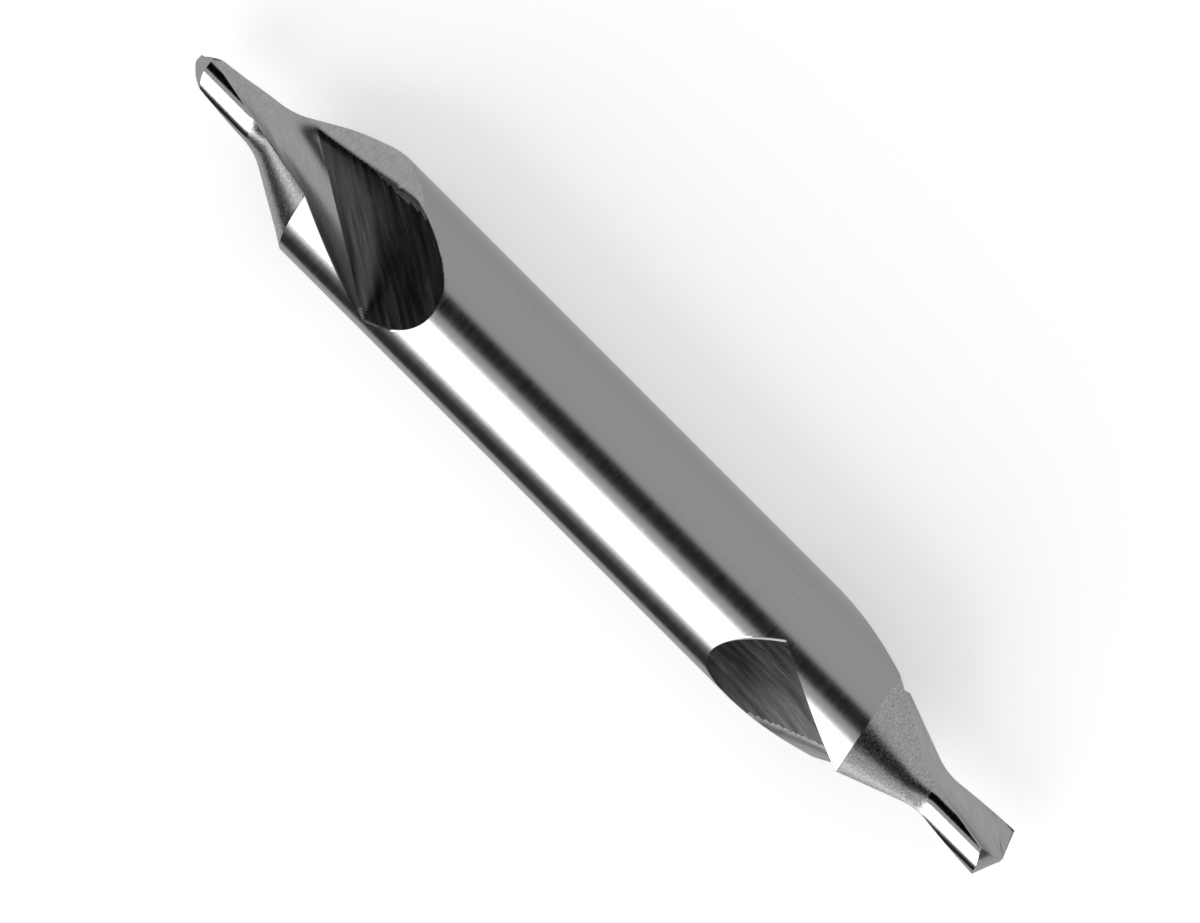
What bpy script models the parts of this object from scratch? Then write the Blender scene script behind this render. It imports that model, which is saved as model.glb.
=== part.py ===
"""Double-ended centre drill: a 2.5 mm pilot and a 60 degree countersink at each end of a 6.3 mm shank.

The drill is one solid of hardened steel and lies along X with its axis through the origin. It is made the way
the tool is: a round blank with both points turned and relieved, then two helical flutes ground into each end by
a bevelled wheel, and a small notch that thins the web at each point.

Each end has its own frame, in which both ends are the same: x is the distance from the tip along the axis, an
azimuth of 0 points up, and azimuths grow in the direction in which the tool turns when it cuts. The far end's pilot
is a little longer: its tip lies that much before x = 0, and is turned on along the helix by as much.
"""

import math

import bmesh
import bpy
import numpy as np
from mathutils import Matrix

MM = 0.001

# Sizes of the blank
TOTAL_LENGTH = 45.9 * MM
SHANK_DIAMETER = 6.3 * MM
PILOT_DIAMETER = 2.5 * MM
PILOT_LENGTH = 3.75 * MM
FAR_PILOT_EXTRA = 0.25 * MM
COUNTERSINK_ANGLE = math.radians(60)
POINT_ANGLE = math.radians(135)
END_TURN = math.radians(61)

# Relief, so that only the cutting edges touch the work
PILOT_BACK_TAPER = 0.006
PILOT_RELIEF = 0.12 * MM
COUNTERSINK_RELIEF = 0.70 * MM
RELIEF_SPAN = math.radians(65)
LIP_RELIEF_ANGLE = math.radians(22)
LIP_AZIMUTH = math.radians(8)

# The flute and the wheel that grinds it. The wheel stops where its lowest point stands at the three stop values.
FLUTE_LEAD = 39.8 * MM
WHEEL_RADIUS = 28.8 * MM
WHEEL_BEVEL = math.radians(27.1)
WHEEL_TURN = math.radians(31.4)
WHEEL_STOP_BEFORE_CORNER = 2.2 * MM
WHEEL_STOP_SIDE = 1.69 * MM
WHEEL_STOP_HEIGHT = 0.11 * MM
FLUTE_OPENING = math.radians(33)
RUNOUT_CLEARANCE = 0.8 * MM
RUNOUT_OPENING = math.radians(-16)

# The near end's first flute is ground twice, the second time turned a little and stopped nearer the tip. Its heel
# is then rounded: the round's centre lies off the axis, and its radius grows along it, at a rate that grows too.
SECOND_PASS_TURN = math.radians(17)
SECOND_PASS_SHORT = 3.8 * MM
HEEL_BEFORE_CORNER = 2.08 * MM
HEEL_SIDE = 1.5 * MM
HEEL_HEIGHT = -0.3 * MM
HEEL_START_RADIUS = 0.6 * MM
HEEL_GROWTH = 0.20
HEEL_FLARE = 0.03 / MM

# The notch that thins the web behind the chisel edge
NOTCH_OFFSET = 0.08 * MM
NOTCH_DEPTH = 0.15 * MM
NOTCH_AZIMUTH = math.radians(62)
NOTCH_TILT = math.radians(22)

# Fineness of the mesh
COLUMNS = 72
PILOT_ROWS = (0.0, 0.25, 0.525, 0.8)
CONE_ROWS = 6
SHANK_ROWS = 4
RAKE_COLUMNS = 13
HEEL_COLUMNS = 10
CUTTER_STEP = 0.6 * MM
TRAVEL_STEP = 0.1 * MM
EDGE_STEP = math.radians(0.5)
RAY_CLEARANCE = 0.45 * MM
RAY_PAST_BLANK = math.radians(2)
RAY_STEPS = 40
RAY_HALVINGS = 9
RUNOUT_STEPS = 400
HEEL_ROWS = 12
HEEL_ARC_POINTS = 9
CREASE_ANGLE = math.radians(25)

SHANK_RADIUS = SHANK_DIAMETER / 2
PILOT_RADIUS = PILOT_DIAMETER / 2
CONE_SLOPE = math.tan(COUNTERSINK_ANGLE / 2)
LIP_SLOPE = 1 / math.tan(POINT_ANGLE / 2)
FLANK_SLOPE = math.tan(LIP_RELIEF_ANGLE)
CONE_START_RADIUS = PILOT_RADIUS - PILOT_BACK_TAPER * PILOT_LENGTH
CONE_LENGTH = (SHANK_RADIUS - CONE_START_RADIUS) / CONE_SLOPE
CORNER = PILOT_LENGTH + CONE_LENGTH
WHEEL_STOP = CORNER - WHEEL_STOP_BEFORE_CORNER
HELIX_RATE = 2 * math.pi / FLUTE_LEAD
SECOND_PASS_AZIMUTH = SECOND_PASS_TURN + HELIX_RATE * SECOND_PASS_SHORT
HEEL_START = CORNER - HEEL_BEFORE_CORNER
HEEL_FLARED = 4 * HEEL_FLARE * (SHANK_RADIUS - HEEL_START_RADIUS)
HEEL_LENGTH = (math.sqrt(HEEL_GROWTH**2 + HEEL_FLARED) - HEEL_GROWTH) / (2 * HEEL_FLARE)
CHISEL_AZIMUTH = LIP_AZIMUTH + math.atan2(LIP_SLOPE, FLANK_SLOPE)


def runout_reach():
    """How far past its stop the wheel still cuts the shank: the furthest point of its rim that lies in the shank."""
    steps = np.linspace(0, 1, RUNOUT_STEPS)
    round_rim, along = np.meshgrid(steps * math.pi / 2, steps * SHANK_DIAMETER)
    rim_radius = WHEEL_RADIUS - along * math.tan(WHEEL_BEVEL)
    across = rim_radius * np.sin(round_rim)
    past = across * math.cos(WHEEL_TURN) + along * math.sin(WHEEL_TURN)
    y = WHEEL_STOP_SIDE - across * math.sin(WHEEL_TURN) + along * math.cos(WHEEL_TURN)
    z = WHEEL_STOP_HEIGHT + WHEEL_RADIUS - rim_radius * np.cos(round_rim)
    return float(past[np.hypot(y, z) < SHANK_RADIUS].max())


RUNOUT_LENGTH = runout_reach() + RUNOUT_CLEARANCE
FLUTE_END = WHEEL_STOP + RUNOUT_LENGTH


def envelope(x):
    """The radius of the blank x from the tip, without relief."""
    return np.clip(CONE_START_RADIUS + CONE_SLOPE * (x - PILOT_LENGTH), PILOT_RADIUS, SHANK_RADIUS)


def in_wheel(x, y, z):
    """How far inside the wheel each point is at the wheel's nearest place, over its whole way in from the tip.

    The wheel is a disc with a flat side and a bevelled rim. It comes in along a helix and stops. Moving a point
    back along the helix, with the wheel held at its stop, gives the same distance and is simpler.
    """
    deepest = np.full(np.shape(x), -1.0)
    for travel in np.arange(0.0, FLUTE_END + TRAVEL_STEP, TRAVEL_STEP):
        turn = HELIX_RATE * travel
        from_stop_x = x + travel - WHEEL_STOP
        from_stop_y = y * math.cos(turn) - z * math.sin(turn) - WHEEL_STOP_SIDE
        from_centre_z = z * math.cos(turn) + y * math.sin(turn) - WHEEL_STOP_HEIGHT - WHEEL_RADIUS
        along = from_stop_x * math.sin(WHEEL_TURN) + from_stop_y * math.cos(WHEEL_TURN)
        across = from_stop_x * math.cos(WHEEL_TURN) - from_stop_y * math.sin(WHEEL_TURN)
        radius = np.hypot(across, from_centre_z)
        rim = (WHEEL_RADIUS - radius) * math.cos(WHEEL_BEVEL) - along * math.sin(WHEEL_BEVEL)
        deepest = np.maximum(deepest, np.minimum(rim, along))
    return deepest


def opening(x):
    """The azimuth that the flute faces, x from the tip: it follows the helix, then swings over the run-out."""
    before = FLUTE_OPENING + HELIX_RATE * (WHEEL_STOP - x)
    share = np.clip((x - WHEEL_STOP) / RUNOUT_LENGTH, 0, 1)
    after = FLUTE_OPENING + (RUNOUT_OPENING - FLUTE_OPENING) * share
    return np.where(x < WHEEL_STOP, before, after)


def anchor(x):
    """How high above the axis, along the flute's opening, the rays that feel for its floor start."""
    return envelope(x) + RAY_CLEARANCE


def flute_floor(x, ray):
    """Side and height of the flute's floor where a ray meets it, the height along the flute's opening.

    Each ray starts inside the flute, above the blank, and leans to the side by its angle from straight down. It is
    followed until the wheel's path ends, first in even steps and then by halving the last one.
    """
    start = anchor(x)
    facing = opening(x)
    sine, cosine = np.sin(facing), np.cos(facing)

    def spot(reach):
        offset = reach * np.sin(ray)
        height = start - reach * np.cos(ray)
        return offset, height

    def open_at(reach):
        offset, height = spot(reach)
        return in_wheel(x, height * sine + offset * cosine, height * cosine - offset * sine) > 0

    step = (start + PILOT_RADIUS) / RAY_STEPS
    reach = np.zeros(np.shape(x))
    going = np.ones(np.shape(x), bool)
    for _ in range(RAY_STEPS):
        going &= open_at(reach + step)
        reach = np.where(going, reach + step, reach)
    for _ in range(RAY_HALVINGS):
        step = step / 2
        reach = np.where(open_at(reach + step), reach + step, reach)
    return spot(reach)


def corner_ray(x):
    """The ray that meets the line cut by the wheel's corner, which parts the flute's two faces."""
    past = np.maximum(x - WHEEL_STOP, 0)
    y = WHEEL_STOP_SIDE - past * math.tan(WHEEL_TURN)
    across = past / math.cos(WHEEL_TURN)
    z = WHEEL_STOP_HEIGHT + WHEEL_RADIUS - np.sqrt(WHEEL_RADIUS**2 - across**2)
    facing = opening(np.maximum(x, WHEEL_STOP))
    offset = y * np.cos(facing) - z * np.sin(facing)
    height = y * np.sin(facing) + z * np.cos(facing)
    return np.arctan2(offset, anchor(x) - height)


def edge_azimuth(x, radius):
    """The azimuth of the cutting edge x from the tip, where the flute's face leaves a round of this radius."""
    azimuths = opening(np.array(x)) - np.arange(0.0, math.pi / 2, EDGE_STEP)
    inside = in_wheel(np.full(azimuths.shape, x), radius * np.sin(azimuths), radius * np.cos(azimuths)) > 0
    return azimuths[np.argmin(inside)] if not inside.all() else azimuths[-1]


def behind_edge(azimuth, edge):
    """How far round each azimuth lies behind its cutting edge, run back to nothing inside the next flute."""
    behind = np.mod(edge - azimuth, math.pi)
    run_back = (math.pi - behind) * 2
    return np.minimum(behind, run_back) / RELIEF_SPAN


def blank_end(extra):
    """Rings of points from the tip to past the flutes: an array of rows, columns and x, y, z."""
    tip_turn = HELIX_RATE * extra
    azimuth = CHISEL_AZIMUTH + tip_turn + np.arange(COLUMNS) * 2 * math.pi / COLUMNS
    rows = []
    for share in PILOT_ROWS:
        x = share * (PILOT_LENGTH + extra) - extra
        relief = behind_edge(azimuth, edge_azimuth(max(x, LIP_SLOPE * PILOT_RADIUS - extra), PILOT_RADIUS))
        radius = PILOT_RADIUS - PILOT_BACK_TAPER * x - PILOT_RELIEF * relief
        along_lip = radius * np.cos(azimuth - LIP_AZIMUTH - tip_turn)
        behind_lip = -radius * np.sin(azimuth - LIP_AZIMUTH - tip_turn)
        flank = np.abs(LIP_SLOPE * along_lip + FLANK_SLOPE * behind_lip) - extra
        rows.append((flank if share == 0 else np.full(COLUMNS, x), radius))
    root = behind_edge(azimuth, edge_azimuth(PILOT_LENGTH, CONE_START_RADIUS))
    root_radius = CONE_START_RADIUS - PILOT_RELIEF * root
    root_x = PILOT_LENGTH + COUNTERSINK_RELIEF * root - PILOT_RELIEF * root / CONE_SLOPE
    rim = behind_edge(azimuth, edge_azimuth(CORNER, SHANK_RADIUS))
    rim_x = CORNER + COUNTERSINK_RELIEF * rim
    for share in np.linspace(0, 1, CONE_ROWS):
        rows.append((root_x + (rim_x - root_x) * share, root_radius + (SHANK_RADIUS - root_radius) * share))
    last_rim = np.max(rim_x)
    for x in np.linspace(last_rim, FLUTE_END + CUTTER_STEP, SHANK_ROWS + 1)[1:]:
        rows.append((np.full(COLUMNS, x), np.full(COLUMNS, SHANK_RADIUS)))
    return np.array([np.stack([x, radius * np.sin(azimuth), radius * np.cos(azimuth)], axis=1) for x, radius in rows])


def end_matrices():
    """Where each end's own frame lies on the drill."""
    near = Matrix.Translation((-TOTAL_LENGTH / 2, 0, 0))
    end_for_end = Matrix.Rotation(math.pi, 4, "Z")
    far = Matrix.Translation((TOTAL_LENGTH / 2 - FAR_PILOT_EXTRA, 0, 0)) @ end_for_end @ turned(END_TURN)
    return near, far


def turned(azimuth):
    """A turn about the axis towards growing azimuths."""
    return Matrix.Rotation(-azimuth, 4, "X")


def placed(points, matrix):
    """Points of an end's frame carried to the drill's frame."""
    m = np.array(matrix)
    return points @ m[:3, :3].T + m[:3, 3]


def mesh_object(name, points, faces):
    """A closed mesh object with its faces turned outwards."""
    mesh = bpy.data.meshes.new(name)
    mesh.from_pydata([tuple(point) for point in points], [], faces)
    shape = bmesh.new()
    shape.from_mesh(mesh)
    bmesh.ops.recalc_face_normals(shape, faces=shape.faces)
    shape.to_mesh(mesh)
    shape.free()
    made = bpy.data.objects.new(name, mesh)
    bpy.context.scene.collection.objects.link(made)
    return made


def closed_rows(x, y, z):
    """Points and faces of a closed body, from rows of points that each run once round it."""
    index = np.arange(x.size).reshape(x.shape)
    beside = np.roll(index, -1, axis=1)
    quads = np.stack([index[:-1], beside[:-1], beside[1:], index[1:]], axis=-1).reshape(-1, 4).tolist()
    points = np.stack([x, y, z], axis=-1).reshape(-1, 3)
    return points, quads + [index[0].tolist(), index[-1].tolist()]


def blank():
    """The turned blank: both ends' rings in one skin, closed by the two flanks of each point."""
    near, far = end_matrices()
    first = placed(blank_end(0), near)
    # The far end's columns run the other way round, so they are matched to the near end's nearest azimuths.
    far_start = CHISEL_AZIMUTH + HELIX_RATE * FAR_PILOT_EXTRA + END_TURN
    shift = round(-(CHISEL_AZIMUTH + far_start) * COLUMNS / (2 * math.pi))
    order = (shift - np.arange(COLUMNS)) % COLUMNS
    second = placed(blank_end(FAR_PILOT_EXTRA), far)[:, order][::-1]
    rings = np.concatenate([first, second])
    index = np.arange(rings.shape[0] * COLUMNS).reshape(-1, COLUMNS)
    beside = np.roll(index, -1, axis=1)
    quads = np.stack([index[:-1], beside[:-1], beside[1:], index[1:]], axis=-1).reshape(-1, 4).tolist()
    flanks = []
    for ring, start in ((index[0], 0), (index[-1], int(np.argmin(order)))):
        loop = np.roll(ring, -start).tolist()
        half = COLUMNS // 2
        flanks += [loop[: half + 1], loop[half:] + loop[:1]]
    return mesh_object("drill_body", rings.reshape(-1, 3), quads + flanks)


def flute_cutter(name):
    """All that the wheel passes through on its way in, as a closed body: its floor and a ridge above the blank."""
    count = math.ceil((FLUTE_END + 2 * CUTTER_STEP) / CUTTER_STEP)
    stations = np.linspace(-CUTTER_STEP, FLUTE_END + CUTTER_STEP, count)[:, None]
    widest = np.arcsin(envelope(stations) / anchor(stations)) + RAY_PAST_BLANK
    corner = corner_ray(stations)
    rake_share = np.linspace(0, 1, RAKE_COLUMNS)
    heel_share = np.linspace(0, 1, HEEL_COLUMNS)[1:]
    ray = np.hstack([-widest + (corner + widest) * rake_share, corner + (widest - corner) * heel_share])
    x = np.repeat(stations, ray.shape[1], axis=1)
    offset, height = flute_floor(x, ray)
    ridge = anchor(stations) + RAY_CLEARANCE / 2
    x = np.hstack([x, stations])
    offset = np.hstack([offset, np.zeros_like(ridge)])
    height = np.hstack([height, ridge])
    facing = opening(x)
    y = height * np.sin(facing) + offset * np.cos(facing)
    z = height * np.cos(facing) - offset * np.sin(facing)
    return mesh_object(name, *closed_rows(x, y, z))


def heel_cutter(name):
    """What is rounded off the heel: all beside and above a quarter of a circle, until that clears the blank."""
    past = np.linspace(0, HEEL_LENGTH, HEEL_ROWS)
    radius = HEEL_START_RADIUS + HEEL_GROWTH * past + HEEL_FLARE * past**2
    angle = np.linspace(0, math.pi / 2, HEEL_ARC_POINTS)
    y = HEEL_SIDE + radius[:, None] * np.sin(angle)
    z = HEEL_HEIGHT + radius[:, None] * np.cos(angle)
    clear = np.full(HEEL_ROWS, SHANK_DIAMETER)
    y = np.column_stack([y, y[:, -1], clear, clear, y[:, 0]])
    z = np.column_stack([z, -clear, -clear, clear, clear])
    x = np.repeat(HEEL_START + past[:, None], y.shape[1], axis=1)
    return mesh_object(name, *closed_rows(x, y, z))


def notch_cutter(name):
    """A wedge between two planes: one stands along the lip, the other slopes from the chisel edge into the flute."""
    along_lip = np.array([0.0, math.sin(LIP_AZIMUTH), math.cos(LIP_AZIMUTH)])
    off_lip = np.array([0.0, math.cos(LIP_AZIMUTH), -math.sin(LIP_AZIMUTH)])
    level = math.cos(NOTCH_TILT)
    slope = np.array([-math.sin(NOTCH_TILT), level * math.sin(NOTCH_AZIMUTH), level * math.cos(NOTCH_AZIMUTH)])
    corner_way = np.cross(off_lip, slope)
    corner_way /= np.linalg.norm(corner_way)
    system = np.array([off_lip, slope, corner_way])
    corner = np.linalg.solve(system, np.array([NOTCH_OFFSET, NOTCH_DEPTH, 0.0]))
    reach = PILOT_DIAMETER
    up_lip = np.cross(off_lip, corner_way)
    up_lip *= math.copysign(reach, up_lip @ along_lip)
    down_slope = np.cross(slope, corner_way)
    down_slope *= math.copysign(reach, down_slope @ off_lip)
    wedge = [corner, corner + up_lip, corner + up_lip + down_slope, corner + down_slope]
    points = [point + corner_way * end for end in (-reach, reach) for point in wedge]
    sides = [[i, (i + 1) % 4, 4 + (i + 1) % 4, 4 + i] for i in range(4)]
    return mesh_object(name, points, sides + [[3, 2, 1, 0], [4, 5, 6, 7]])


def material(name, colour, metallic, roughness):
    """A Principled material with these plain values."""
    made = bpy.data.materials.new(name)
    made.use_nodes = True
    shader = made.node_tree.nodes["Principled BSDF"]
    shader.inputs["Base Color"].default_value = (*colour, 1)
    shader.inputs["Metallic"].default_value = metallic
    shader.inputs["Roughness"].default_value = roughness
    return made


def cut(body, cutter, matrix):
    """Takes the cutter away from the body at this place, and keeps it as a hidden wire shape."""
    cutter.matrix_world = matrix
    cutter.hide_render = True
    cutter.display_type = "WIRE"
    taken = body.modifiers.new(cutter.name, "BOOLEAN")
    taken.operation = "DIFFERENCE"
    taken.solver = "EXACT"
    taken.object = cutter


def main():
    """Removes what the scene holds, then makes the blank and grinds its two ends."""
    for old in list(bpy.data.objects):
        bpy.data.objects.remove(old, do_unlink=True)
    body = blank()
    body.data.materials.append(material("ground_steel", (0.42, 0.42, 0.43), 1.0, 0.22))
    near, far = end_matrices()
    for end_name, matrix, extra in (("near", near, 0), ("far", far, FAR_PILOT_EXTRA)):
        tip = Matrix.Translation((-extra, 0, 0)) @ turned(HELIX_RATE * extra)
        for side in (0, 1):
            half_turn = turned(side * math.pi)
            cut(body, flute_cutter(f"flute_wheel_path_{end_name}_{side + 1}"), matrix @ half_turn)
            cut(body, notch_cutter(f"web_notch_path_{end_name}_{side + 1}"), matrix @ half_turn @ tip)
    short = Matrix.Translation((-SECOND_PASS_SHORT, 0, 0))
    cut(body, flute_cutter("second_wheel_path"), near @ short @ turned(SECOND_PASS_AZIMUTH))
    cut(body, heel_cutter("heel_round_path"), near)
    body.data.shade_smooth()
    body.data.set_sharp_from_angle(angle=CREASE_ANGLE)


main()
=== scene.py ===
# %% [markdown]
# # A double-ended centre drill
#
# A centre drill is a short, stiff cutting tool. A thin pilot starts the hole, a cone behind it opens the
# hole to 60 degrees, and the plain round shank is held in a chuck. This one has a point at each end, so
# it can be turned round when the first one is blunt. The lesson rebuilds its surface as numbers, and then
# lights it.

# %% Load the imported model
import math

import bmesh
import bpy
import numpy as np
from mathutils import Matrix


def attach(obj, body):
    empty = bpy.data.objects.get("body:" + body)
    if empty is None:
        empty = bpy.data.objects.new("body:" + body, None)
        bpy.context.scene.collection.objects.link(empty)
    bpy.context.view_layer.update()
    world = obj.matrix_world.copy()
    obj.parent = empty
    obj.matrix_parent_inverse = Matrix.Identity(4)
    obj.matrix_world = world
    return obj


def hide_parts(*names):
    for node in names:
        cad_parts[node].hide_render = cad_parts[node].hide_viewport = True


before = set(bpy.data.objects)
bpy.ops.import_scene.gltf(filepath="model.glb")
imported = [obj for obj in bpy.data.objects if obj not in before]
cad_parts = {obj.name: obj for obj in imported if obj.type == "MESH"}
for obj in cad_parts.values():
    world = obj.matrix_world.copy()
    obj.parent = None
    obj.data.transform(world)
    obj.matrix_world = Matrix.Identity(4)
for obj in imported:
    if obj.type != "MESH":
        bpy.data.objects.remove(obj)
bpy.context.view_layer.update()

# %% [markdown]
# ## The sizes
#
# The real tool is ground, so its sizes are exact: a 2.5 mm pilot, a 6.3 mm shank, a cone of 30 degrees to
# the axis. Each end is described in its own frame: x runs from the tip along the axis, an azimuth of 0
# points up, and azimuths grow the way the tool turns. The relief sizes say how far the surface falls away
# behind a cutting edge. The far end's pilot is a quarter of a millimetre longer, so its tip lies that
# much before its x = 0.

# %% Sizes of the blank
MM = 0.001
DEG = math.pi / 180

LENGTH = 45.9 * MM
SHANK_RADIUS = 3.15 * MM
PILOT_RADIUS = 1.25 * MM
PILOT_LENGTH = 3.75 * MM
FAR_PILOT_EXTRA = 0.25 * MM
BACK_TAPER = 0.006
CONE_SLOPE = math.tan(30 * DEG)
CONE_START_RADIUS = PILOT_RADIUS - BACK_TAPER * PILOT_LENGTH
CORNER = PILOT_LENGTH + (SHANK_RADIUS - CONE_START_RADIUS) / CONE_SLOPE
END_TURN = 61 * DEG

PILOT_RELIEF = 0.12 * MM
CONE_RELIEF = 0.70 * MM
RELIEF_SPAN = 65 * DEG
ROOT_FILLET = 0.38 * MM
print(f"the cone meets the shank {CORNER / MM:.2f} mm from the tip")

# %% [markdown]
# ## The grinding wheel
#
# The flutes are what a grinding wheel leaves. The wheel has a flat side and a bevelled rim, comes in from
# the tip along a helix, and stops. It could be done with Boolean cuts, but those leave long, thin
# triangles that shade badly. Here the wheel is a formula instead: how deep a point lies inside the wheel
# at its nearest place.

# %% The wheel's path
FLUTE_LEAD = 39.8 * MM
HELIX_RATE = 2 * math.pi / FLUTE_LEAD
WHEEL_RADIUS = 28.8 * MM
WHEEL_BEVEL = 27.1 * DEG
WHEEL_TURN = 31.4 * DEG
WHEEL_STOP = CORNER - 2.2 * MM
STOP_SIDE = 1.69 * MM
STOP_HEIGHT = 0.11 * MM
STOP_OPENING = 33 * DEG
TRAVEL_END = 15 * MM
TRAVEL_STEP = 0.5 * MM
TRAVEL_HALVINGS = 9
FAR_OUTSIDE = -1.0
print(f"the flutes turn once in {FLUTE_LEAD / MM:.1f} mm")


def in_wheel_frame(x, y, z, travel):
    """A point carried back along the helix: places along the wheel's axle, across it and above its centre."""
    turn = HELIX_RATE * travel
    from_stop_x = x + travel - WHEEL_STOP
    from_stop_y = y * np.cos(turn) - z * np.sin(turn) - STOP_SIDE
    above = z * np.cos(turn) + y * np.sin(turn) - STOP_HEIGHT - WHEEL_RADIUS
    along = from_stop_x * math.sin(WHEEL_TURN) + from_stop_y * math.cos(WHEEL_TURN)
    across = from_stop_x * math.cos(WHEEL_TURN) - from_stop_y * math.sin(WHEEL_TURN)
    return along, across, above


def wheel_cover(x, y, z, travel):
    """Depth inside the wheel: the smaller of the depths behind its flat side and under its bevelled rim."""
    along, across, above = in_wheel_frame(x, y, z, travel)
    rim = (WHEEL_RADIUS - np.hypot(across, above)) * math.cos(WHEEL_BEVEL) - along * math.sin(WHEEL_BEVEL)
    return np.minimum(rim, along)


def swept_cover(x, y, z):
    """The greatest cover over the path and the travel where it is reached: even steps, then halved ones."""
    best = np.full(np.shape(x), FAR_OUTSIDE)
    at = np.zeros(np.shape(x))
    step = TRAVEL_STEP
    for travel in np.arange(0, TRAVEL_END, step):
        cover = wheel_cover(x, y, z, travel)
        at = np.where(cover > best, travel, at)
        best = np.maximum(cover, best)
    for _ in range(TRAVEL_HALVINGS):
        step = step / 2
        for way in (-1, 1):
            travel = np.maximum(at + way * step, 0)
            cover = wheel_cover(x, y, z, travel)
            at = np.where(cover > best, travel, at)
            best = np.maximum(cover, best)
    return best, at


# %% [markdown]
# ## The second pass
#
# One of the four flutes looks as if it was ground twice. The second time the wheel stood 17 degrees
# further round and stopped 3.8 mm nearer the tip, which took more off the heel. A helix can be moved
# along itself, so the second pass is the first one again, asked about a point that is moved and turned
# the other way.

# %% The path of the second pass
SECOND_SHORT = 3.8 * MM
SECOND_TURN = 17 * DEG
RIDGE_BLEND = 0.25 * MM
print(f"the second pass: {SECOND_SHORT / MM:.1f} mm nearer the tip, {SECOND_TURN / DEG:.0f} degrees on")


def rounding(difference, blend):
    """Added where two surfaces meet: a square of what is left of the blend, greatest where they are equal."""
    return np.maximum(blend - np.abs(difference), 0) ** 2 / (4 * blend)


def moved_back(x, y, z, distance, further=0.0):
    """A point moved forward by a distance and turned back with the helix, and by a further angle."""
    turn = HELIX_RATE * distance + further
    sine, cosine = math.sin(turn), math.cos(turn)
    return x + distance, y * cosine - z * sine, z * cosine + y * sine


def ground_cover(x, y, z, flute):
    """The greatest cover of one flute. Where its two passes cut nearly as deep, the ridge is rounded."""
    cover = swept_cover(x, y, z)[0]
    if flute != "reground":
        return cover
    second = swept_cover(*moved_back(x, y, z, SECOND_SHORT, SECOND_TURN))[0]
    return np.maximum(cover, second) + rounding(cover - second, RIDGE_BLEND)


# %% [markdown]
# ## The notch and the blank
#
# At the very point the web between the flutes is thinned by a small notch, so that the drill doesn't have
# to push a wide chisel edge through the work. The blank is round, and falls away behind each cutting
# edge. The pilot and the cone are joined by a small fillet.

# %% The notch and the blank
# How much longer the pilot is, by kind of flute.
LONGER = {"plain": 0.0, "reground": 0.0, "longer": FAR_PILOT_EXTRA}
NOTCH_WALL = (0.0, 0.99, -0.139, 0.08 * MM)
NOTCH_SLOPE = (-0.37, 0.82, 0.43, 0.15 * MM)


def plane_cover(plane, x, y, z):
    """How far a point lies beyond a plane, given as its normal and its distance."""
    return plane[0] * x + plane[1] * y + plane[2] * z - plane[3]


def void(x, y, z, flute):
    """Above zero where metal is ground away: by the wheel, or between the notch's two planes."""
    at_tip = moved_back(x, y, z, LONGER[flute])
    notch = np.minimum(plane_cover(NOTCH_WALL, *at_tip), plane_cover(NOTCH_SLOPE, *at_tip))
    return np.maximum(ground_cover(x, y, z, flute), notch)


def land_radius(x, behind):
    """Radius of the blank: pilot and cone joined by a fillet, less their relief, no more than the shank."""
    pilot = PILOT_RADIUS - BACK_TAPER * x - PILOT_RELIEF * behind
    cone = CONE_START_RADIUS + CONE_SLOPE * (x - PILOT_LENGTH - CONE_RELIEF * behind)
    return np.minimum(np.maximum(pilot, cone) + rounding(pilot - cone, ROOT_FILLET), SHANK_RADIUS)


print(f"radius in the root between pilot and cone: {land_radius(PILOT_LENGTH, 0) / MM:.2f} mm")

# %% [markdown]
# ## Where the flute ends
#
# The wheel lifts out of the shank at one last point. It is found on a fine grid of places on the shank:
# the last row that the wheel still touches, and the azimuth where it touches most.

# %% The flute's last point
TOUCH_PLACES = np.linspace(13, 15, 401) * MM
TOUCH_AZIMUTHS = np.linspace(-40, 20, 241) * DEG


def last_touch():
    """Distance from the tip and azimuth of the last point on the shank that the wheel reaches."""
    place, azimuth = np.meshgrid(TOUCH_PLACES, TOUCH_AZIMUTHS, indexing="ij")
    cover = swept_cover(place, SHANK_RADIUS * np.sin(azimuth), SHANK_RADIUS * np.cos(azimuth))[0]
    most = cover.max(axis=1)
    last = int(np.nonzero(most > 0)[0][-1])
    share = most[last] / (most[last] - most[last + 1])
    end = place[last, 0] + share * (place[last + 1, 0] - place[last, 0])
    return float(end), float(azimuth[last, cover[last].argmax()])


APEX, APEX_AZIMUTH = last_touch()
print(f"the flutes end {APEX / MM:.2f} mm from the tip, at azimuth {APEX_AZIMUTH / DEG:.1f} degrees")


def facing(x):
    """The azimuth that the flute faces: it follows the helix, then swings to its last point."""
    helix = STOP_OPENING + HELIX_RATE * (WHEEL_STOP - x)
    after = np.interp(x, [WHEEL_STOP, APEX], [STOP_OPENING, APEX_AZIMUTH])
    return np.where(x < WHEEL_STOP, helix, after)


# %% [markdown]
# ## Cutting edge and heel
#
# Each flute is bounded by two curves on the blank: the cutting edge on one side and the heel on the
# other. Both are found by walking round from the middle of the flute until the wheel no longer covers the
# blank, and then halving. Where the second pass leaves a patch of its own, the walk goes on to the far
# side of that patch. The sharp turns of a drill only look right if the grid's lines run exactly along
# these curves.

# %% The flute's two limits
SWING = np.arange(0, 120) * DEG
LIMIT_PLACES = 700
LIMIT_HALVINGS = 16


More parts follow.
